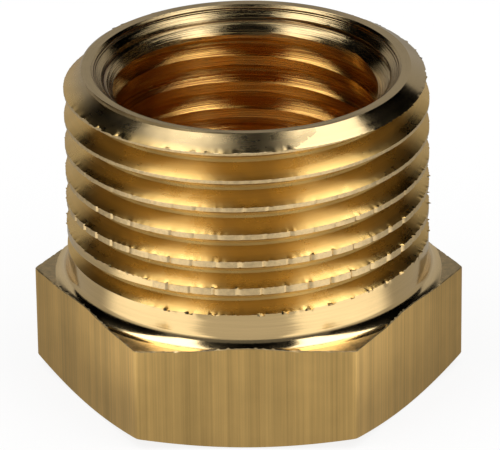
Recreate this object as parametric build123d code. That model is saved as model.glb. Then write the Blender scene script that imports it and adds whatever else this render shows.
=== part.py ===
"""Hexagon reducing bushing: a short male pipe thread on a hexagon, threaded right through.

One piece of brass, turned from hexagon bar. It stands on its hexagon end. The origin is the
middle of that end, on the thread axis, and +Z runs up the axis to the male end. Both threads are
cut as true helices. The female groove has its full depth and mouth, with a sharp root.
"""
from build123d import *
from build123d.topology import SkipClean

import os

from math import atan, atan2, ceil, cos, degrees, radians, sin, sqrt, tan

# ---- sizes, in millimetres, degrees and turns ----

# hexagon
hex_across_flats = 17.0
hex_height = 4.9
base_face_diameter = 16.5       # flat left on the hexagon end inside its turned chamfer
base_chamfer_angle = 18.0       # from the end face

# both threads: 55 degree pipe thread form, 19 turns to the inch, right hand
thread_pitch = 25.4 / 19
flank_half_angle = 27.5
depth_per_pitch = 0.640327
root_flat_per_pitch = 1 / 6

# male thread: a tapered groove in a parallel blank, so its crests are left as flat lands
male_length = 10.1              # from the shoulder to the male end face
male_major_diameter = 16.662    # at the gauge plane
male_gauge_length = 6.4         # from the male end face down to the gauge plane
male_taper = 1 / 16             # on the diameter
crest_turned_off = 0.081        # how far the blank's radius is under the full crest
male_foot_above_shoulder = 2.053    # where the groove is still at its full depth
male_foot_angle = -120.0        # round the axis from +X
male_runout_turns = 0.4         # below its foot the groove climbs out of the blank
shoulder_fillet_radius = 0.6
shoulder_fillet_facets = 2      # the fillet is turned as this many short cones
end_chamfer_width = 0.83        # measured on the radius
end_chamfer_angle = 30.0        # from the end face

# female thread: parallel, right through
wall_between_threads = 0.6965   # from root to root at the male end
female_thread_height = 0.6285   # from the tapping hole's wall out to the root
female_start_angle = -90.0
female_start_below_base = 0.737
end_face_width = 0.42           # flat ring left between the end chamfer and the countersink
countersink_angle = 45.0        # from the axis

# every turned face is laid out in equal sectors, so that each turn of a land is short patches
sector_count = 8

thread_overrun = 0.7            # both grooves are carried this far past the male end
cutter_clearance = 0.03         # how far a cut reaches past the surface it opens through

# ---- worked out from the sizes above ----

overall_height = hex_height + male_length
hex_corner_radius = hex_across_flats / sqrt(3)
sector_angle = 360 / sector_count

flank_slope = tan(radians(flank_half_angle))
thread_depth = depth_per_pitch * thread_pitch
root_flat = root_flat_per_pitch * thread_pitch
groove_top = overall_height + thread_overrun

base_face_radius = base_face_diameter / 2
bar_radius = hex_corner_radius + cutter_clearance
base_chamfer_height = (bar_radius - base_face_radius) * tan(radians(base_chamfer_angle))

blank_radius = male_major_diameter / 2 - crest_turned_off
fillet_foot_radius = blank_radius + shoulder_fillet_radius
fillet_top = hex_height + shoulder_fillet_radius
end_face_radius = blank_radius - end_chamfer_width
end_chamfer_height = end_chamfer_width * tan(radians(end_chamfer_angle))

gauge_plane_height = overall_height - male_gauge_length
gauge_root_radius = male_major_diameter / 2 - thread_depth
end_root_radius = gauge_root_radius - male_gauge_length * male_taper / 2
male_foot = hex_height + male_foot_above_shoulder
male_foot_radius = gauge_root_radius + (gauge_plane_height - male_foot) * male_taper / 2
male_groove_depth = blank_radius + cutter_clearance - end_root_radius
male_groove_mouth = root_flat + 2 * male_groove_depth * flank_slope
runout_rise = blank_radius + cutter_clearance - male_foot_radius
runout_drop = male_runout_turns * thread_pitch

female_root_radius = end_root_radius - wall_between_threads
tapping_hole_radius = female_root_radius - female_thread_height
female_groove_depth = female_thread_height + cutter_clearance
female_groove_mouth = root_flat + 2 * female_groove_depth * flank_slope
countersink_radius = end_face_radius - end_face_width
countersink_depth = (countersink_radius - tapping_hole_radius) / tan(radians(countersink_angle))


fillet_outline = [
    (
        fillet_foot_radius - shoulder_fillet_radius * sin(radians(90 * facet / shoulder_fillet_facets)),
        fillet_top - shoulder_fillet_radius * cos(radians(90 * facet / shoulder_fillet_facets)),
    )
    for facet in range(shoulder_fillet_facets + 1)
]


def radial_plane(angle, radius=0.0, height=0.0):
    """Upright plane through the axis: x outward at this angle, y up, from this radius and height."""
    out = (cos(radians(angle)), sin(radians(angle)), 0)
    origin = (radius * out[0], radius * out[1], height)
    return Plane(origin=origin, x_dir=out, z_dir=(out[1], -out[0], 0))


def helix_path(angle, radius, height, turns, cone_angle=0.0, direction=1):
    """Right-hand helix from this point, up (1) or down (-1), as one edge to each turn."""
    edge_count = ceil(turns)
    edge_turns = turns / edge_count
    edges = []
    for index in range(edge_count):
        travel = index * edge_turns * thread_pitch
        helix = Helix(
            pitch=thread_pitch / cos(radians(cone_angle)),  # a cone's helix counts it on the slant
            height=edge_turns * thread_pitch,
            radius=radius + travel * tan(radians(cone_angle)),
            center=(0, 0, height + direction * travel),
            direction=(0, 0, direction),
            cone_angle=cone_angle,
            mode=Mode.PRIVATE,
        )
        start = helix @ 0
        edge_angle = angle + direction * index * edge_turns * 360
        turned = helix.rotate(Axis.Z, edge_angle - degrees(atan2(start.Y, start.X)))
        edges.append(turned.edge())
    return Wire(edges)


with SkipClean(), BuildPart() as hex_bushing:

    # outside as turned: base chamfer, full bar, shoulder with its fillet, blank, end chamfer
    for sector in range(sector_count):
        with BuildSketch(radial_plane(sector * sector_angle)):
            with BuildLine():
                Polyline(
                    (0, overall_height),
                    (0, 0),
                    (base_face_radius, 0),
                    (bar_radius, base_chamfer_height),
                    (bar_radius, hex_height),
                    *fillet_outline,
                    (blank_radius, overall_height - end_chamfer_height),
                    (end_face_radius, overall_height),
                    (0, overall_height),
                )
            make_face()
        revolve(axis=Axis.Z, revolution_arc=sector_angle)

    # the bar's six flats, two of them square to Y
    with BuildSketch():
        RegularPolygon(radius=hex_across_flats / 2, side_count=6, major_radius=False)
    extrude(amount=overall_height, mode=Mode.INTERSECT)

    # tapping hole with a countersink at each end
    with BuildSketch(radial_plane(0)):
        with BuildLine():
            Polyline(
                (0, 0),
                (countersink_radius, 0),
                (tapping_hole_radius, countersink_depth),
                (tapping_hole_radius, overall_height - countersink_depth),
                (countersink_radius, overall_height),
                (0, overall_height),
                close=True,
            )
        make_face()
    revolve(axis=Axis.Z, mode=Mode.SUBTRACT)

    # male groove, from its foot up and off the end
    with BuildSketch(radial_plane(male_foot_angle, male_foot_radius, male_foot)) as male_section:
        with BuildLine():
            Polyline(
                (0, -root_flat / 2),
                (male_groove_depth, -male_groove_mouth / 2),
                (male_groove_depth, male_groove_mouth / 2),
                (0, root_flat / 2),
                close=True,
            )
        make_face()
    sweep(
        path=helix_path(
            male_foot_angle,
            male_foot_radius,
            male_foot,
            (groove_top - male_foot) / thread_pitch,
            cone_angle=-degrees(atan(male_taper / 2)),
        ),
        is_frenet=True,
        mode=Mode.SUBTRACT,
    )

    # its run-out, from the foot down and out through the blank
    sweep(
        male_section.sketch,
        path=helix_path(
            male_foot_angle,
            male_foot_radius,
            male_foot,
            male_runout_turns,
            cone_angle=degrees(atan(runout_rise / runout_drop)),
            direction=-1,
        ),
        is_frenet=True,
        mode=Mode.SUBTRACT,
    )

    # female groove, from below the base up and off the male end
    with BuildSketch(radial_plane(female_start_angle, female_root_radius, -female_start_below_base)):
        with BuildLine():
            Polyline(
                (0, 0),
                (-female_groove_depth, -female_groove_mouth / 2),
                (-female_groove_depth, female_groove_mouth / 2),
                close=True,
            )
        make_face()
    sweep(
        path=helix_path(
            female_start_angle,
            female_root_radius,
            -female_start_below_base,
            (groove_top + female_start_below_base) / thread_pitch,
        ),
        is_frenet=True,
        mode=Mode.SUBTRACT,
    )

hex_bushing.part.label = "hex_bushing"

os.makedirs("parts", exist_ok=True)
export_step(hex_bushing.part, "parts/hex_bushing.step")
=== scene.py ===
"""Hexagon reducing bushing in turned brass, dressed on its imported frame."""
import math

import bpy
import numpy as np
from mathutils import Matrix, Vector


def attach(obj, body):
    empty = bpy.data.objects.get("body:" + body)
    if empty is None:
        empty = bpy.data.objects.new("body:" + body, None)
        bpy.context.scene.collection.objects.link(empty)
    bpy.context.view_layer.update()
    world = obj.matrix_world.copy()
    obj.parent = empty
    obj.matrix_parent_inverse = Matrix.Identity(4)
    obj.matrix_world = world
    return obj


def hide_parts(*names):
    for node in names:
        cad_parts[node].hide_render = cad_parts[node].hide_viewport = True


bl_info = {
    "name": "Hex Bushing",
    "version": (1, 0, 0),
    "blender": (4, 5, 0),
    "location": "View3D > Sidebar > Bushing",
    "description": "Models a threaded brass hexagon bushing and its studio stage",
    "category": "Object",
}

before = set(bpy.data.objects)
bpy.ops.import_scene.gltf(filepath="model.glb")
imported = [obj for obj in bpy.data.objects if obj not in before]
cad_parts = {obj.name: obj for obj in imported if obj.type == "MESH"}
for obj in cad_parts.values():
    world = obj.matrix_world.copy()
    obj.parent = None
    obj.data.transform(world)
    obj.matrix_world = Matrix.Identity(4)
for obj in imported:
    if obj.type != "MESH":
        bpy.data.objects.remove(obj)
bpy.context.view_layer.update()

MM = 0.001

# thread form and places, in millimetres, degrees and turns
FLANK_SLOPE = math.tan(math.radians(27.5))
MALE_TAPER = 1 / 16         # on the diameter
MALE_FOOT_ANGLE = -120.0    # round the axis, where the male groove is last at its full depth
MALE_FOOT_RISE = 2.053      # and how far that is above the shoulder
MALE_RUNOUT_TURNS = 0.4     # below its foot the groove climbs out of the blank
FEMALE_START_ANGLE = -90.0
FEMALE_START_DROP = 0.737   # below the hexagon end

# edges and bevels, in millimetres and degrees
END_CHAMFER_ANGLE = 30.0    # from the end face
BASE_CHAMFER_ANGLE = 18.0   # from the end face
NECK_RISE = 1.3             # the thread's rows stop this far above the shoulder
BROKEN_EDGE = 0.03          # round the top of the hexagon
BROKEN_CORNER = 0.035       # down the hexagon's corners
ROOT_ROUNDING = 0.03        # where a groove's root turns into its flanks

# grids: columns round the axis, rows as shares of the way along each face
OUTER_COLUMNS = 480         # a multiple of six
BORE_COLUMNS = 192
NICK_COLUMNS = 10           # from one nick of a crest to the next
SEAM_ANGLE = -270.0         # the seam of both grids is at the back
LAND_STEPS = (0.12, 0.38, 0.62, 0.88)
FLANK_STEPS = (0.2, 0.45, 0.7, 0.9)
BORE_STEPS = (0.33, 0.67)
QUARTERS = (0.25, 0.5, 0.75, 1.0)
SIDE_STEPS = (0.04, 0.5, 0.96, 1.0)
FILLET_ROWS = 8
ROWS_PER_TURN = 17          # land, upper mouth, flank, root, flank and lower mouth of one turn

# surfaces of the outside, and material slots
TURNED, THREAD, LAND, SHOULDER, DRAWN, BORE = range(6)
ON_SURFACE = 0.002          # millimetres within which a point lies on a face

# mesh, in metres and degrees
WELD_DISTANCE = 0.000002
THIN_DISTANCE = 0.000001    # faces with edges shorter than this are dissolved
SMOOTH_ANGLE = 24.0

# finishes, in millimetres
FADE_HEIGHT = 14.2          # from here up a turned finish changes to its end colour, a darker brass painted as shade
FADE_LENGTH = 0.4

# soft boxes, one each side, in metres, degrees and watts
SOFT_BOX_PLACE = (0.414, -0.351, 0.5)
SOFT_BOX_TURN = 25.0
SOFT_BOX_SIZE = (0.264, 1.225)
SOFT_BOX_POWER = 2.85

# floor in reflections: its painted level in front and behind, dimmer nearer the bushing as painted
# shade, and its painted pools of light, in millimetres
FLOOR_FRONT, FLOOR_BEHIND = (-10.0, 0.54), (-3.0, 0.36)     # Y and level
POOL_PLACE = (17.0, -10.5)
POOL_REACH = (10.0, 7.5)    # from where it starts to where it is full
POOL_LEVEL = 0.75

# camera, in millimetres, degrees and pixels
CAMERA_TARGET = (0.0896, 0.0018, 7.03)
CAMERA_SIDE = (0.01795, -0.9006, 0.4343)    # from the target toward the camera
CAMERA_ROLL = -0.674
CAMERA_DISTANCE = 229.5
FOCAL_PIXELS = 5026.1
FRAME_PIXELS = 500.0
SENSOR_WIDTH = 36.0


class BushingSizes(bpy.types.PropertyGroup):
    """Sizes of the bushing."""

    height: bpy.props.FloatProperty(
        name="Height", description="From the hexagon end to the male end",
        default=15.0 * MM, unit="LENGTH")
    hex_flats: bpy.props.FloatProperty(
        name="Across flats", description="Width of the hexagon across its flats",
        default=17.0 * MM, unit="LENGTH")
    hex_height: bpy.props.FloatProperty(
        name="Hexagon height", description="From the hexagon end up to the shoulder",
        default=4.9 * MM, unit="LENGTH")
    blank: bpy.props.FloatProperty(
        name="Blank", description="Diameter the male thread is cut in",
        default=16.5 * MM, unit="LENGTH")
    fillet: bpy.props.FloatProperty(
        name="Shoulder fillet", description="Radius between the neck and the shoulder",
        default=0.6 * MM, unit="LENGTH")
    pitch: bpy.props.FloatProperty(
        name="Pitch", description="Height of one turn of either thread",
        default=25.4 / 19 * MM, unit="LENGTH")
    male_root: bpy.props.FloatProperty(
        name="Male root", description="Root diameter of the male thread at its gauge plane",
        default=14.95 * MM, unit="LENGTH")
    gauge_height: bpy.props.FloatProperty(
        name="Gauge plane", description="Height of the male thread's gauge plane",
        default=8.6 * MM, unit="LENGTH")
    end_face: bpy.props.FloatProperty(
        name="End face", description="Outside diameter of the male end face",
        default=14.84 * MM, unit="LENGTH")
    bore: bpy.props.FloatProperty(
        name="Bore", description="Diameter of the tapping hole",
        default=11.9 * MM, unit="LENGTH")
    female_major: bpy.props.FloatProperty(
        name="Female major", description="Major diameter of the female thread",
        default=13.157 * MM, unit="LENGTH")
    countersink: bpy.props.FloatProperty(
        name="Countersink", description="Diameter of the countersink at each end of the bore",
        default=14.0 * MM, unit="LENGTH")
    base_face: bpy.props.FloatProperty(
        name="Base face", description="Diameter of the flat left on the hexagon end",
        default=16.5 * MM, unit="LENGTH")


class BushingFinish(bpy.types.PropertyGroup):
    """Colours of the brass and of the stage."""

    brass: bpy.props.FloatVectorProperty(
        name="Brass", description="Colour of bright turned brass",
        default=(0.86, 0.65, 0.34), subtype="COLOR", size=3, min=0.0, max=1.0)
    drawn: bpy.props.FloatVectorProperty(
        name="Drawn brass", description="Colour of the hexagon's drawn flats",
        default=(0.76, 0.52, 0.20), subtype="COLOR", size=3, min=0.0, max=1.0)
    groove: bpy.props.FloatVectorProperty(
        name="Thread grooves", description="Colour of the male thread's grooves",
        default=(0.86, 0.58, 0.20), subtype="COLOR", size=3, min=0.0, max=1.0)
    # painted light: the bore's brass is brighter and more orange than the rest, for the light it
    # gathers by reflecting itself
    bore: bpy.props.FloatVectorProperty(
        name="Bore", description="Colour of the female thread",
        default=(0.97, 0.46, 0.13), subtype="COLOR", size=3, min=0.0, max=1.0)
    # painted light: the crest lands get a lighter, paler brass than the rest so they come out
    # bright
    land: bpy.props.FloatVectorProperty(
        name="Crest lands", description="Colour of the male thread's flat crests",
        default=(0.90, 0.70, 0.40), subtype="COLOR", size=3, min=0.0, max=1.0)
    floor: bpy.props.FloatVectorProperty(
        name="Floor", description="Colour of the floor and of the surroundings",
        default=(0.9, 0.9, 0.9), subtype="COLOR", size=3, min=0.0, max=1.0)


def mm(length):
    """A property's length in millimetres."""
    return length / MM


# ---- shapes, in millimetres ----

def ring_angles(columns):
    """Angles of a grid's columns, in degrees, with the seam at both ends."""
    return SEAM_ANGLE + np.arange(columns + 1) * 360.0 / columns


def groove_rows(centres, halves, root_half, pitch, land_steps, flank_steps):
    """Heights of rows that follow a helical groove, turn by turn from the top down.

    centres holds each turn's groove height by column and halves its half mouth. Every turn gives
    its land, its upper flank, its root and its lower flank.
    """
    rows = []
    for turn in range(len(centres)):
        upper = centres[turn] + halves[turn]
        above = centres[turn - 1] - halves[turn - 1] if turn else upper + pitch / 4
        for step in land_steps:
            rows.append(above + (upper - above) * step)
        rows.append(upper)
        for step in flank_steps[::-1]:
            rows.append(centres[turn] + root_half + (halves[turn] - root_half) * step)
        rows.append(centres[turn] + root_half)
        rows.append(centres[turn])
        rows.append(centres[turn] - root_half)
        for step in flank_steps:
            rows.append(centres[turn] - root_half - (halves[turn] - root_half) * step)
        rows.append(centres[turn] - halves[turn])
    return np.array(rows)


def snap_to_crossings(heights, gap_at):
    """Move the nearest row on to each place where two surfaces cross, so the edge is sharp."""
    gap = gap_at(heights)
    crossing = gap[:-1] * gap[1:] < 0
    for row, column in zip(*np.nonzero(crossing)):
        here, there = gap[row, column], gap[row + 1, column]
        share = here / (here - there)
        height = heights[row, column] + share * (heights[row + 1, column] - heights[row, column])
        heights[row if share < 0.5 else row + 1, column] = height
    return heights


def groove_radius(heights, centres, roots, root_half, inward=1.0):
    """Radius of the nearest groove's surface at each height: root, then flanks at 27.5 degrees."""
    radius = None
    for centre, root in zip(centres, roots):
        reach = np.abs(heights - centre)
        flank = np.maximum(reach - root_half, 0) / FLANK_SLOPE
        rounding = ROOT_ROUNDING * np.clip(reach / root_half, 0, 1) ** 2 * np.exp(-flank * 12)
        this = root + inward * (flank + rounding)
        if radius is None:
            radius = this
        elif inward > 0:
            radius = np.minimum(radius, this)
        else:
            radius = np.maximum(radius, this)
    return radius


class Outside:
    """The outside of the bushing as rows of heights and radii round the axis."""

    def __init__(self, size):
        self.angles = ring_angles(OUTER_COLUMNS)
        self.top = mm(size.height)
        self.shoulder = mm(size.hex_height)
        self.blank = mm(size.blank) / 2
        self.end = mm(size.end_face) / 2
        self.pitch = mm(size.pitch)
        self.root_half = self.pitch / 12
        self.fillet = mm(size.fillet)
        self.flat = mm(size.hex_flats) / 2
        self.base = mm(size.base_face) / 2
        self.rim = mm(size.countersink) / 2
        self.neck_top = self.shoulder + NECK_RISE
        self.male_root = mm(size.male_root) / 2
        self.gauge = mm(size.gauge_height)
        self.foot_height = self.shoulder + MALE_FOOT_RISE
        self.foot_angle = MALE_FOOT_ANGLE - 4 * 360.0
        self.runout = MALE_RUNOUT_TURNS * 360.0
        self.build()

    def hexagon(self):
        """Radius of the hexagon at each column, its corners just broken."""
        from_flat = (self.angles + 90.0 + 30.0) % 60.0 - 30.0
        radius = self.flat / np.cos(np.radians(from_flat))
        corner = self.flat / math.cos(math.radians(30.0))
        return np.minimum(radius, corner - BROKEN_CORNER)

    def chamfer(self, heights):
        """Radius of the end chamfer at these heights."""
        return self.end + (self.top - heights) / math.tan(math.radians(END_CHAMFER_ANGLE))

    def root(self, centres):
        """Root radius of the tapered groove at these heights of its middle."""
        return self.male_root - (centres - self.gauge) * MALE_TAPER / 2

    def build(self):
        """Work out the rows from the male end down to the hexagon end."""
        angles = self.angles
        turns = np.arange(3, -6, -1)
        unwound = angles[None, :] + 360.0 * turns[:, None]
        centres = self.foot_height + self.pitch * (unwound - self.foot_angle) / 360.0
        roots = self.root(centres)
        past = np.clip((self.foot_angle - unwound) / self.runout, 0, 1)
        foot_root = self.root(self.foot_height)
        roots = np.where(past > 0, foot_root + past * (self.blank - foot_root), roots)
        halves = self.root_half + (self.blank - roots) * FLANK_SLOPE
        heights = groove_rows(centres, halves, self.root_half, self.pitch,
                              LAND_STEPS, FLANK_STEPS)
        heights = np.clip(heights, self.neck_top, self.top)

        def groove(at):
            return groove_radius(at, centres, roots, self.root_half)

        heights = snap_to_crossings(
            heights, lambda at: self.chamfer(at) - np.minimum(groove(at), self.blank))
        heights = np.clip(heights, self.neck_top, self.top)
        heights[-1] = self.neck_top
        cut = groove(heights)
        radii = np.minimum(np.minimum(cut, self.blank), self.chamfer(heights))
        self.thread_heights = heights
        on_chamfer = self.chamfer(heights) - radii < ON_SURFACE
        on_chamfer |= heights > self.top - 0.0001
        on_land = self.blank - radii < ON_SURFACE
        self.surfaces = np.select([on_chamfer, on_land], [TURNED, LAND], THREAD)
        radii = self.roughen(heights, radii)
        lower_heights, lower_radii = self.below_thread()
        end_ring = self.end * 0.3 + self.rim * 0.7
        count = len(angles)
        self.heights = np.vstack([np.full((1, count), self.top), heights, lower_heights])
        self.radii = np.vstack([np.full((1, count), end_ring), radii, lower_radii])

    def below_thread(self):
        """Rows of the neck, fillet, shoulder, hexagon, base chamfer and base face."""
        count = len(self.angles)
        lower_heights, lower_radii = [], []

        def row(height, radius):
            lower_heights.append(np.broadcast_to(height, (count,)).astype(float))
            lower_radii.append(np.broadcast_to(radius, (count,)).astype(float))

        fillet_top = self.shoulder + self.fillet
        for share in QUARTERS:
            row(self.neck_top + (fillet_top - self.neck_top) * share, self.blank)
        side = self.hexagon()
        rng = np.random.default_rng(11)
        chips = rng.uniform(0.0, 0.07, count) * (rng.random(count) < 0.3)
        chips[-1] = chips[0]
        edge = side - BROKEN_EDGE - chips
        foot = self.blank + self.fillet
        reach = np.minimum(foot, edge)
        last = np.arccos(np.clip((foot - reach) / self.fillet, -1, 1))
        for share in np.linspace(0, 1, FILLET_ROWS + 1)[1:]:
            turn = last * share
            row(fillet_top - self.fillet * np.sin(turn), foot - self.fillet * np.cos(turn))
        ledge = fillet_top - self.fillet * np.sin(last)
        for share in QUARTERS:
            row(ledge, reach + (edge - reach) * share)
        row(ledge - BROKEN_EDGE - chips / 2, side)
        bottom = (side - self.base) * math.tan(math.radians(BASE_CHAMFER_ANGLE))
        for share in SIDE_STEPS:
            row(ledge - BROKEN_EDGE + (bottom - ledge + BROKEN_EDGE) * share, side)
        for share in (0.5, 1.0):
            row(bottom * (1 - share), side + (self.base - side) * share)
        row(0.0, (self.base + self.rim) / 2)
        return np.array(lower_heights), np.array(lower_radii)

    def roughen(self, heights, radii):
        """Nick the crests at even steps round the axis and leave burrs on their edges."""
        rng = np.random.default_rng(7)
        count = len(self.angles) - 1
        turn_of = np.arange(len(heights)) // ROWS_PER_TURN
        place = np.arange(len(heights)) % ROWS_PER_TURN
        lower_mouth = ROWS_PER_TURN - 1
        worn = np.clip((self.top - 1.0 - heights) / 6.0, 0.15, 1.0)
        size = rng.uniform(0.35, 1.0, (turn_of.max() + 2, count // NICK_COLUMNS))
        column = np.arange(count)
        result = radii.copy()
        on_land = self.surfaces == LAND
        for index in range(len(heights)):
            turn = turn_of[index] + (1 if place[index] == lower_mouth else 0)
            step = (column + turn) % NICK_COLUMNS
            strength = size[turn, ((column + turn) // NICK_COLUMNS) % size.shape[1]]
            change = np.zeros(count)
            if place[index] <= len(LAND_STEPS):
                change = -0.11 * strength * (step == 4) - 0.03 * strength * (step == 5)
            if place[index] == lower_mouth:
                change = 0.10 * strength * (step == 5) - 0.09 * strength * (step == 4)
                change = change + rng.uniform(-0.02, 0.03, count)
            edge = self.surfaces[index] == TURNED
            if index + 1 < len(heights):
                edge = edge & (self.surfaces[index + 1] == THREAD)
                edge = edge & (heights[index] < self.top - 0.1)
            ragged = rng.uniform(-0.05, 0.07, count) * (rng.random(count) < 0.5)
            if place[index] == lower_mouth:
                lumps = rng.uniform(-0.10, 0.09, count // 3 + 1).repeat(3)[:count]
                lumps = lumps * rng.uniform(0.4, 1.0, count)
                first = heights[index, :-1] > self.top - 0.8
                change = np.where(first, lumps / 0.15, change)
            full = np.append(change, change[0]) * worn[index] * on_land[index]
            full = full * (heights[index] > self.last_edge() - 0.02)
            full = full + np.append(ragged, ragged[0]) * edge
            full[0] = full[-1] = 0.0    # the seam joins one turn to the next, so it stays true
            result[index] += full
        return result

    def slots(self):
        """Material slot of each face of the grid."""
        count = self.heights.shape[0] - 1
        slots = np.zeros((count, len(self.angles) - 1), int)
        corners = np.stack([self.surfaces[:-1, :-1], self.surfaces[:-1, 1:],
                            self.surfaces[1:, :-1], self.surfaces[1:, 1:]])
        on_chamfer = (corners == TURNED).sum(axis=0) >= 3
        on_land = (corners == LAND).sum(axis=0) >= 3
        middle = (self.thread_heights[:-1, :-1] + self.thread_heights[1:, 1:]) / 2
        land = np.where(middle > self.last_edge()[None, :-1] + 0.02, LAND, TURNED)
        neck = len(self.thread_heights)
        shoulder = neck + len(QUARTERS) + FILLET_ROWS
        sides = shoulder + len(QUARTERS) + 1
        slots[1:neck] = np.where(on_chamfer, TURNED, np.where(on_land, land, THREAD))
        slots[shoulder:sides] = SHOULDER
        slots[sides:sides + len(SIDE_STEPS)] = DRAWN
        return slots

    def last_edge(self):
        """Height below which the blank is the plain neck and not a land."""
        unwound = np.where(self.angles < MALE_FOOT_ANGLE,
                           self.angles - 3 * 360.0, self.angles - 4 * 360.0)
        centre = self.foot_height + self.pitch * (unwound - self.foot_angle) / 360.0
        return centre - self.root_half - (self.blank - self.root(centre)) * FLANK_SLOPE


class Bore:
    """The threaded bore with its countersinks as rows of heights and radii round the axis."""

    def __init__(self, size):
        angles = ring_angles(BORE_COLUMNS)
        top = mm(size.height)
        pitch = mm(size.pitch)
        root_half = pitch / 12
        land = mm(size.bore) / 2
        root = mm(size.female_major) / 2
        rim = mm(size.countersink) / 2
        turns = np.arange(13, -2, -1)
        from_start = (angles[None, :] - FEMALE_START_ANGLE) / 360.0
        centres = -FEMALE_START_DROP + pitch * (from_start + turns[:, None])
        roots = np.full(centres.shape, root)
        halves = np.full(centres.shape, root_half + (root - land) * FLANK_SLOPE)
        heights = groove_rows(centres, halves, root_half, pitch, BORE_STEPS, BORE_STEPS)
        heights = np.clip(heights, 0.0, top)

        def plain(at):
            return np.maximum(np.maximum(rim - (top - at), rim - at), land)

        def groove(at):
            return groove_radius(at, centres, roots, root_half, inward=-1.0)

        heights = snap_to_crossings(heights, lambda at: plain(at) - groove(at))
        heights = np.clip(heights, 0.0, top)
        self.angles = angles
        self.heights = heights
        self.radii = np.maximum(plain(heights), groove(heights))
        self.radii[0], self.radii[-1] = rim, rim


# ---- modelling ----

def deselect_all():
    """Leave edit mode and select nothing."""
    if bpy.context.object and bpy.context.object.mode != "OBJECT":
        bpy.ops.object.mode_set(mode="OBJECT")
    bpy.ops.object.select_all(action="DESELECT")


def roll_grid(name, angles, heights, radii):
    """Add a grid and roll it round the axis to these heights and radii."""
    rows, columns = heights.shape
    deselect_all()
    bpy.ops.mesh.primitive_grid_add(x_subdivisions=columns - 1, y_subdivisions=rows - 1, size=1.0)
    piece = bpy.context.object
    piece.name = name
    turn = np.radians(angles)[None, :]
    points = np.stack([radii * np.cos(turn), radii * np.sin(turn), heights], axis=2) * MM
    piece.data.vertices.foreach_set("co", points.reshape(-1).astype(np.float32))
    piece.data.update()
    return piece


def close_piece(piece):
    """Weld the seams and the rows that meet, and turn the faces outward."""
    bpy.ops.object.mode_set(mode="EDIT")
    bpy.ops.mesh.select_all(action="SELECT")
    bpy.ops.mesh.remove_doubles(threshold=WELD_DISTANCE)
    bpy.ops.mesh.dissolve_degenerate(threshold=THIN_DISTANCE)
    bpy.ops.mesh.select_all(action="SELECT")
    bpy.ops.mesh.normals_make_consistent(inside=False)
    bpy.ops.object.mode_set(mode="OBJECT")


class BUSHING_OT_turn_body(bpy.types.Operator):
    """Model the bushing: outside with its male thread, bore with its female thread"""

    bl_idname = "bushing.turn_body"
    bl_label = "Turn bushing"

    def execute(self, context):
        size = context.scene.bushing_sizes
        finish = context.scene.bushing_finish
        outside = Outside(size)
        bore = Bore(size)
        body = roll_grid("bushing_body", outside.angles, outside.heights, outside.radii)
        slots = outside.slots()
        body.data.polygons.foreach_set("material_index", slots.reshape(-1).astype(np.int32))
        inner = roll_grid("bushing_bore", bore.angles, bore.heights, bore.radii)
        inner.data.polygons.foreach_set(
            "material_index", np.full(len(inner.data.polygons), BORE, np.int32))
        for material in brass_finishes(finish):
            body.data.materials.append(material)
            inner.data.materials.append(material)
        deselect_all()
        inner.select_set(True)
        body.select_set(True)
        context.view_layer.objects.active = body
        bpy.ops.object.join()
        close_piece(body)
        bridge_rims(body)
        bpy.ops.object.shade_smooth_by_angle(angle=math.radians(SMOOTH_ANGLE))
        for modifier in list(body.modifiers):
            bpy.ops.object.modifier_apply(modifier=modifier.name)
        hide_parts("hex_bushing")
        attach(body, "root")
        return {"FINISHED"}


def bridge_rims(piece):
    """Bridge the outside to the bore at each end."""
    for height in (mm(bpy.context.scene.bushing_sizes.height), 0.0):
        deselect_all()
        piece.select_set(True)
        bpy.context.view_layer.objects.active = piece
        bpy.ops.object.mode_set(mode="EDIT")
        bpy.ops.mesh.select_mode(type="EDGE")
        bpy.ops.mesh.select_all(action="DESELECT")
        bpy.ops.mesh.select_non_manifold(extend=False, use_boundary=True, use_wire=False,
                                         use_multi_face=False, use_non_contiguous=False,
                                         use_verts=False)
        bpy.ops.object.mode_set(mode="OBJECT")
        mesh = piece.data
        count = len(mesh.edges)
        chosen = np.zeros(count, bool)
        mesh.edges.foreach_get("select", chosen)
        ends = np.zeros(count * 2, np.int32)
        mesh.edges.foreach_get("vertices", ends)
        places = np.zeros(len(mesh.vertices) * 3, np.float32)
        mesh.vertices.foreach_get("co", places)
        level = places.reshape(-1, 3)[:, 2][ends.reshape(-1, 2)].mean(axis=1) / MM
        chosen &= np.abs(level - height) < 0.01
        mesh.vertices.foreach_set("select", np.zeros(len(mesh.vertices), bool))
        mesh.polygons.foreach_set("select", np.zeros(len(mesh.polygons), bool))
        mesh.edges.foreach_set("select", chosen)
        bpy.ops.object.mode_set(mode="EDIT")
        bpy.ops.mesh.bridge_edge_loops()
        bpy.ops.object.mode_set(mode="OBJECT")
    bpy.ops.object.mode_set(mode="EDIT")
    bpy.ops.mesh.select_mode(type="FACE")
    bpy.ops.mesh.select_all(action="SELECT")
    bpy.ops.mesh.normals_make_consistent(inside=False)
    bpy.ops.object.mode_set(mode="OBJECT")


# ---- finishes ----

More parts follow.
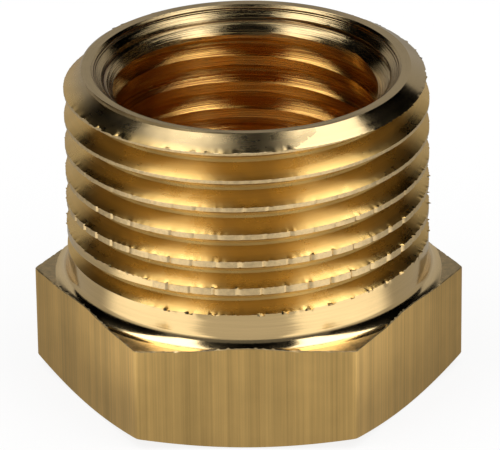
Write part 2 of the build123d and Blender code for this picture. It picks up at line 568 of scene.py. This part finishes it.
class Nodes:
    """Short way to build one material's nodes."""

    def __init__(self, name):
        self.material = bpy.data.materials.new(name)
        self.material.use_nodes = True
        self.tree = self.material.node_tree
        self.shader = self.tree.nodes["Principled BSDF"]
        self.place = self.add("ShaderNodeTexCoord").outputs["Object"]

    def add(self, kind, **values):
        """Add a node and set its inputs and options by name."""
        node = self.tree.nodes.new(kind)
        for key, value in values.items():
            if key in node.inputs:
                node.inputs[key].default_value = value
            else:
                setattr(node, key, value)
        return node

    def link(self, start, end):
        """Join an output to an input."""
        self.tree.links.new(start, end)

    def stretch(self, scale):
        """The place on the object, scaled by axis."""
        node = self.add("ShaderNodeMapping")
        node.inputs["Scale"].default_value = scale
        self.link(self.place, node.inputs["Vector"])
        return node.outputs["Vector"]

    def maths(self, operation, first, second):
        """One sum of two sockets or numbers."""
        node = self.add("ShaderNodeMath", operation=operation)
        for socket, value in zip(node.inputs, (first, second)):
            if isinstance(value, (int, float)):
                socket.default_value = value
            else:
                self.link(value, socket)
        return node.outputs[0]

    def apart(self):
        """Outputs X, Y and Z of the place on the object."""
        node = self.add("ShaderNodeSeparateXYZ")
        self.link(self.place, node.inputs[0])
        return node.outputs

    def round_axis(self, along, across):
        """Coordinates for marks left by turning: slow round the axis, quick up and outward."""
        apart = self.apart()
        flat = self.stretch((1.0, 1.0, 0.0))
        length = self.add("ShaderNodeVectorMath", operation="LENGTH")
        self.link(flat, length.inputs[0])
        outward = self.maths("MULTIPLY", length.outputs["Value"], 1.37)
        level = self.maths("ADD", apart["Z"], outward)
        together = self.add("ShaderNodeCombineXYZ")
        self.link(self.maths("MULTIPLY", apart["X"], along), together.inputs["X"])
        self.link(self.maths("MULTIPLY", apart["Y"], along), together.inputs["Y"])
        self.link(self.maths("MULTIPLY", level, across), together.inputs["Z"])
        return together.outputs[0]

    def grain_along(self, strength, turned):
        """Spread the reflections across the marks, which run round the axis or straight up."""
        tangent = self.add("ShaderNodeVectorMath", operation="CROSS_PRODUCT")
        tangent.inputs[0].default_value = (0.0, 0.0, 1.0)
        self.link(self.place, tangent.inputs[1])
        self.link(tangent.outputs["Vector"], self.shader.inputs["Tangent"])
        self.shader.inputs["Anisotropic"].default_value = strength
        self.shader.inputs["Anisotropic Rotation"].default_value = 0.25 if turned else 0.0

    def noise(self, vector, scale, detail=3.0, roughness=0.5):
        """A noise of this scale."""
        node = self.add("ShaderNodeTexNoise", Scale=scale, Detail=detail, Roughness=roughness)
        self.link(vector, node.inputs["Vector"])
        return node.outputs["Fac"]

    def span(self, value, low, high, to_low, to_high, interpolation="LINEAR"):
        """Carry a value from one range to another."""
        node = self.add("ShaderNodeMapRange", interpolation_type=interpolation)
        node.inputs["From Min"].default_value = low
        node.inputs["From Max"].default_value = high
        node.inputs["To Min"].default_value = to_low
        node.inputs["To Max"].default_value = to_high
        self.link(value, node.inputs["Value"])
        return node.outputs["Result"]

    def near_end(self, start=FADE_HEIGHT):
        """0 along the thread, 1 at the male end."""
        return self.span(self.apart()["Z"], start * MM, (start + FADE_LENGTH) * MM, 0.0, 1.0)

    def ring(self, level, half):
        """1 on a ring round the axis at this height in millimetres, 0 away from it."""
        off = self.maths("SUBTRACT", self.apart()["Z"], level * MM)
        off = self.maths("ABSOLUTE", off, 0.0)
        return self.span(off, 0.0, half * MM, 1.0, 0.0)

    def tint(self, value, dark, light):
        """Mix two colours or colour sockets by a value."""
        node = self.add("ShaderNodeMix", data_type="RGBA")
        self.link(value, node.inputs["Factor"])
        for socket in node.inputs:
            if socket.type != "RGBA":
                continue
            colour = dark if socket.name == "A" else light
            if isinstance(colour, tuple):
                socket.default_value = (*colour, 1.0)
            else:
                self.link(colour, socket)
        return [socket for socket in node.outputs if socket.type == "RGBA"][0]

    def bump(self, height, distance, lean=1.0):
        """Bump by this height. A lean under 1 tips sloping surfaces' reflections outward."""
        node = self.add("ShaderNodeBump", Distance=distance)
        self.link(height, node.inputs["Height"])
        if lean != 1.0:
            shape = self.add("ShaderNodeNewGeometry")
            squashed = self.add("ShaderNodeVectorMath", operation="MULTIPLY")
            factors = self.add("ShaderNodeCombineXYZ", X=1.0, Y=1.0)
            self.link(self.span(self.near_end(), 0.0, 1.0, lean, 1.0), factors.inputs["Z"])
            self.link(factors.outputs[0], squashed.inputs[1])
            self.link(shape.outputs["Normal"], squashed.inputs[0])
            whole = self.add("ShaderNodeVectorMath", operation="NORMALIZE")
            self.link(squashed.outputs["Vector"], whole.inputs[0])
            self.link(whole.outputs["Vector"], node.inputs["Normal"])
        self.link(node.outputs["Normal"], self.shader.inputs["Normal"])


def shade(colour, factor):
    """A colour made darker or lighter."""
    return tuple(min(1.0, c * factor) for c in colour)


def turned_finish(name, colour, roughness, spread, marks_deep, lean=1.0, along=60.0,
                  across=6000.0, painted_end_shade=None, end_shade_from=FADE_HEIGHT, contrast=(0.9, 1.06),
                  rings=()):
    """Brass cut on a lathe: fine rings round the axis.

    From the end height in millimetres up the finish fades to the end colour, a darker brass
    painted as shade on the male end. Each ring is a dark line of painted shade, for a groove or
    for the sides of a bead, given as its height and half its width in millimetres.
    """
    nodes = Nodes(name)
    nodes.shader.inputs["Metallic"].default_value = 1.0
    place = nodes.round_axis(along, across)
    marks = nodes.noise(place, 1.0, 3.0, 0.7)
    broad = nodes.noise(nodes.round_axis(along * 2, across / 5), 1.0, 3.0, 0.6)
    patches = nodes.noise(nodes.stretch((1.0, 1.0, 1.0)), 700.0, 3.0, 0.6)
    tone = nodes.maths("ADD", nodes.maths("MULTIPLY", marks, 0.6),
                       nodes.maths("MULTIPLY", broad, 0.4))
    base = nodes.tint(nodes.span(tone, 0.35, 0.65, 0.0, 1.0), shade(colour, contrast[0]),
                      shade(colour, contrast[1]))
    # painted shade: from the end height up the colour fades to a darker brass
    if painted_end_shade:
        base = nodes.tint(nodes.near_end(end_shade_from), base, painted_end_shade)
    # painted shade: dark lines for a groove and for both sides of a bead; they also lower the bump
    for level, half in rings:
        ring = nodes.ring(level, half)
        base = nodes.tint(nodes.maths("MULTIPLY", ring, 0.9), base, shade(colour, 0.15))
        tone = nodes.maths("SUBTRACT", tone, ring)
    nodes.link(base, nodes.shader.inputs["Base Color"])
    rough = nodes.maths("ADD", nodes.span(patches, 0.35, 0.65, roughness * 0.8, roughness * 1.15),
                        nodes.span(marks, 0.3, 0.7, -0.03, 0.03))
    nodes.link(rough, nodes.shader.inputs["Roughness"])
    nodes.grain_along(spread, True)
    nodes.bump(tone, marks_deep, lean)
    return nodes.material


def drawn_finish(name, colour, roughness):
    """Bar stock as drawn: fine straight streaks up the flats."""
    nodes = Nodes(name)
    nodes.shader.inputs["Metallic"].default_value = 1.0
    fine = nodes.noise(nodes.stretch((9000.0, 9000.0, 60.0)), 1.0, 4.0, 0.7)
    broad = nodes.noise(nodes.stretch((1400.0, 1400.0, 40.0)), 1.0, 3.0, 0.5)
    cloud = nodes.noise(nodes.stretch((1.0, 1.0, 1.0)), 260.0, 3.0, 0.6)
    tone = nodes.maths("ADD", nodes.maths("MULTIPLY", fine, 0.45),
                       nodes.maths("MULTIPLY", broad, 0.3))
    tone = nodes.maths("ADD", tone, nodes.maths("MULTIPLY", cloud, 0.25))
    nodes.link(nodes.tint(nodes.span(tone, 0.38, 0.62, 0.0, 1.0), shade(colour, 0.74),
                          shade(colour, 1.16)), nodes.shader.inputs["Base Color"])
    nodes.link(nodes.span(fine, 0.3, 0.7, roughness - 0.05, roughness + 0.08),
               nodes.shader.inputs["Roughness"])
    nodes.grain_along(0.7, False)
    nodes.bump(fine, 0.000004)
    return nodes.material


def speckled_finish(name, colour, roughness, scale, depth):
    """Brass with a fine even speckle."""
    nodes = Nodes(name)
    nodes.shader.inputs["Metallic"].default_value = 1.0
    speck = nodes.noise(nodes.stretch((1.0, 1.0, 1.0)), scale, 4.0, 0.7)
    nodes.link(nodes.tint(nodes.span(speck, 0.35, 0.65, 0.0, 1.0), shade(colour, 0.82),
                          shade(colour, 1.12)), nodes.shader.inputs["Base Color"])
    nodes.link(nodes.span(speck, 0.3, 0.7, roughness - 0.08, roughness + 0.08),
               nodes.shader.inputs["Roughness"])
    nodes.bump(speck, depth)
    return nodes.material


def brass_finishes(finish):
    """Materials of the bushing, in the order of its slots."""
    brass, drawn, land = tuple(finish.brass), tuple(finish.drawn), tuple(finish.land)
    return [
        # painted shade: the turned and thread finishes darken to 60 % brass towards the male end
        turned_finish("brass_turned", brass, roughness=0.155, spread=0.5, marks_deep=0.000006,
                      painted_end_shade=shade(brass, 0.60)),
        turned_finish("brass_thread", tuple(finish.groove), roughness=0.31, spread=0.87,
                      marks_deep=0.000004, lean=0.74, painted_end_shade=shade(brass, 0.60)),
        # painted light: the lands' colour is a lightened brass
        speckled_finish("brass_land", land, roughness=0.40, scale=5000.0, depth=0.000006),
        speckled_finish("brass_shoulder", shade(brass, 0.92), roughness=0.36, scale=4000.0,
                        depth=0.000004),
        drawn_finish("brass_drawn", drawn, roughness=0.40),
        # painted light: an orange, brightened brass for the bore, fading at the countersink to a
        # darker brass as painted shade
        turned_finish("brass_bore", tuple(finish.bore), roughness=0.22, spread=0.9,
                      marks_deep=0.00005, lean=0.75, along=30.0,
                      painted_end_shade=shade(brass, 0.62), end_shade_from=13.7, contrast=(0.5, 1.35),
                      # painted shade lines: a groove at 14.42 and the two sides of a bead near
                      # 14.83
                      rings=((14.86, 0.03), (14.79, 0.02), (14.42, 0.12))),
    ]


# ---- stage ----

def soft_box(name, side):
    """Hang a soft box face down on this side, turned about the vertical."""
    across, depth, height = SOFT_BOX_PLACE
    deselect_all()
    bpy.ops.object.light_add(type="AREA", location=(side * across, depth, height),
                             rotation=(0.0, 0.0, math.radians(side * SOFT_BOX_TURN)))
    lamp = bpy.context.object
    lamp.name = name
    lamp.data.shape = "RECTANGLE"
    lamp.data.size, lamp.data.size_y = SOFT_BOX_SIZE
    lamp.data.energy = SOFT_BOX_POWER


def flat_card(name, place, width, depth, material, tilt=(0.0, 0.0, 0.0)):
    """Stand or lay a flat card of the stage."""
    deselect_all()
    bpy.ops.mesh.primitive_plane_add(size=1.0, location=place, rotation=tilt)
    card = bpy.context.object
    card.name = name
    card.scale = (width, depth, 1.0)
    bpy.ops.object.transform_apply(location=True, rotation=True, scale=True)
    card.data.materials.append(material)
    return card


def card_material(name, colour, strength):
    """An even glow of this colour, or black."""
    material = bpy.data.materials.new(name)
    material.use_nodes = True
    tree = material.node_tree
    tree.nodes.clear()
    glow = tree.nodes.new("ShaderNodeEmission")
    glow.inputs["Color"].default_value = (*colour, 1.0)
    glow.inputs["Strength"].default_value = strength
    out = tree.nodes.new("ShaderNodeOutputMaterial")
    tree.links.new(glow.outputs[0], out.inputs["Surface"])
    return material


class BUSHING_OT_set_stage(bpy.types.Operator):
    """Set the floor, the soft boxes, the dark cards, the surroundings and the camera"""

    bl_idname = "bushing.set_stage"
    bl_label = "Set stage"

    def execute(self, context):
        finish = context.scene.bushing_finish
        self.floor(tuple(finish.floor))
        self.lights()
        self.surroundings()
        self.camera(context)
        return {"FINISHED"}

    def floor(self, colour):
        """Lay the floor: pale to the camera, with painted light and shade of its own in
        reflections.
        """
        nodes = Nodes("pale_floor")
        nodes.shader.inputs["Base Color"].default_value = (*colour, 1.0)
        nodes.shader.inputs["Roughness"].default_value = 0.9
        path = nodes.add("ShaderNodeLightPath")
        white = nodes.add("ShaderNodeEmission", Color=(1.0, 1.0, 1.0, 1.0))
        seen = nodes.add("ShaderNodeMixShader")
        share = nodes.maths("MULTIPLY", path.outputs["Is Camera Ray"], 0.85)
        nodes.link(share, seen.inputs["Fac"])
        nodes.link(nodes.shader.outputs[0], seen.inputs[1])
        nodes.link(white.outputs[0], seen.inputs[2])
        # painted light and shade: in reflections the floor is a glow with painted pools of light,
        # dimmer near the bushing
        painted_floor_glow = nodes.add("ShaderNodeEmission", Color=(1.0, 0.94, 0.84, 1.0))
        nodes.link(self.painted_floor_light(nodes), painted_floor_glow.inputs["Strength"])
        surface = nodes.add("ShaderNodeMixShader")
        nodes.link(path.outputs["Is Glossy Ray"], surface.inputs["Fac"])
        nodes.link(seen.outputs[0], surface.inputs[1])
        nodes.link(painted_floor_glow.outputs[0], surface.inputs[2])
        nodes.link(surface.outputs[0], nodes.tree.nodes["Material Output"].inputs["Surface"])
        flat_card("floor", (0.0, 0.0, 0.0), 6.0, 6.0, nodes.material)

    def painted_floor_light(self, nodes):
        """Painted level of the floor in reflections, dimmer towards the bushing as painted shade,
        with a long painted pool of light at each side in front.
        """
        level = nodes.span(nodes.apart()["Y"], FLOOR_FRONT[0] * MM, FLOOR_BEHIND[0] * MM,
                           FLOOR_FRONT[1], FLOOR_BEHIND[1])
        drawn_in = nodes.add("ShaderNodeVectorMath", operation="MULTIPLY")
        drawn_in.inputs[1].default_value = (1.0, 0.5, 1.0)
        nodes.link(nodes.place, drawn_in.inputs[0])
        for side in (-1, 1):
            reach = nodes.add("ShaderNodeVectorMath", operation="DISTANCE")
            reach.inputs[1].default_value = (side * POOL_PLACE[0] * MM, POOL_PLACE[1] * MM, 0.0)
            nodes.link(drawn_in.outputs["Vector"], reach.inputs[0])
            pool = nodes.span(reach.outputs["Value"], POOL_REACH[0] * MM, POOL_REACH[1] * MM,
                              0.0, POOL_LEVEL, "SMOOTHSTEP")
            level = nodes.maths("ADD", level, pool)
        return level

    def lights(self):
        """Hang the two soft boxes and stand the cards that the brass mirrors."""
        soft_box("soft_box_left", -1)
        soft_box("soft_box_right", 1)
        black = card_material("black_card", (0.0, 0.0, 0.0), 0.0)
        pale = card_material("backdrop", (1.0, 0.97, 0.93), 0.45)
        for card in (
            flat_card("card_over", (0.0, 0.0, 0.62), 6.0, 2.2, black),
            flat_card("card_left", (-1.6, 0.0, 0.5), 1.2, 2.6, black, (0.0, math.radians(90), 0.0)),
            flat_card("card_right", (1.6, 0.0, 0.5), 1.2, 2.6, black, (0.0, math.radians(90), 0.0)),
            flat_card("backdrop", (0.0, 2.0, 0.5), 5.0, 1.1, pale, (math.radians(90), 0.0, 0.0)),
        ):
            card.visible_camera = False
            card.visible_diffuse = False
            card.visible_shadow = False

    def surroundings(self):
        """Set the world: white to the camera, dim in reflections."""
        world = bpy.data.worlds.new("studio")
        bpy.context.scene.world = world
        world.use_nodes = True
        tree = world.node_tree
        ground = tree.nodes["Background"]
        ground.inputs["Color"].default_value = (1.0, 1.0, 1.0, 1.0)
        path = tree.nodes.new("ShaderNodeLightPath")
        level = tree.nodes.new("ShaderNodeMapRange")
        level.inputs["To Min"].default_value = 0.5
        level.inputs["To Max"].default_value = 0.12
        tree.links.new(path.outputs["Is Glossy Ray"], level.inputs["Value"])
        seen = tree.nodes.new("ShaderNodeMath")
        seen.operation = "MAXIMUM"
        tree.links.new(level.outputs["Result"], seen.inputs[0])
        tree.links.new(path.outputs["Is Camera Ray"], seen.inputs[1])
        tree.links.new(seen.outputs[0], ground.inputs["Strength"])

    def camera(self, context):
        """Stand the camera in front, looking down on the bushing."""
        target = Vector(CAMERA_TARGET) * MM
        back = Vector(CAMERA_SIDE).normalized()
        side = Vector((0.0, 0.0, 1.0)).cross(back).normalized()
        rise = back.cross(side)
        roll = math.radians(CAMERA_ROLL)
        across = side * math.cos(roll) + rise * math.sin(roll)
        up = rise * math.cos(roll) - side * math.sin(roll)
        deselect_all()
        bpy.ops.object.camera_add()
        camera = bpy.context.object
        camera.name = "camera"
        turned = Matrix((across, up, back)).transposed().to_4x4()
        place = target + back * (CAMERA_DISTANCE * MM)
        camera.matrix_world = Matrix.Translation(place) @ turned
        camera.data.sensor_width = SENSOR_WIDTH
        camera.data.lens = FOCAL_PIXELS * SENSOR_WIDTH / FRAME_PIXELS
        camera.data.clip_start = 0.01
        context.scene.camera = camera


class BUSHING_PT_panel(bpy.types.Panel):
    """Lists the bushing's operators and sizes"""

    bl_label = "Bushing"
    bl_idname = "BUSHING_PT_panel"
    bl_space_type = "VIEW_3D"
    bl_region_type = "UI"
    bl_category = "Bushing"

    def draw(self, context):
        layout = self.layout
        layout.operator("bushing.turn_body")
        layout.operator("bushing.set_stage")
        for group in (context.scene.bushing_sizes, context.scene.bushing_finish):
            for name in group.__annotations__:
                layout.prop(group, name)


CLASSES = (BushingSizes, BushingFinish, BUSHING_OT_turn_body, BUSHING_OT_set_stage,
           BUSHING_PT_panel)


def register():
    """Register the classes and hang the sizes and colours on the scene."""
    for item in CLASSES:
        bpy.utils.register_class(item)
    bpy.types.Scene.bushing_sizes = bpy.props.PointerProperty(type=BushingSizes)
    bpy.types.Scene.bushing_finish = bpy.props.PointerProperty(type=BushingFinish)


def unregister():
    """Take them off again."""
    del bpy.types.Scene.bushing_sizes
    del bpy.types.Scene.bushing_finish
    for item in reversed(CLASSES):
        bpy.utils.unregister_class(item)


def main():
    """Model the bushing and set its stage."""
    register()
    bpy.ops.bushing.turn_body()
    bpy.ops.bushing.set_stage()
    bpy.context.scene.view_settings.view_transform = "Standard"


if __name__ == "__main__":
    main()
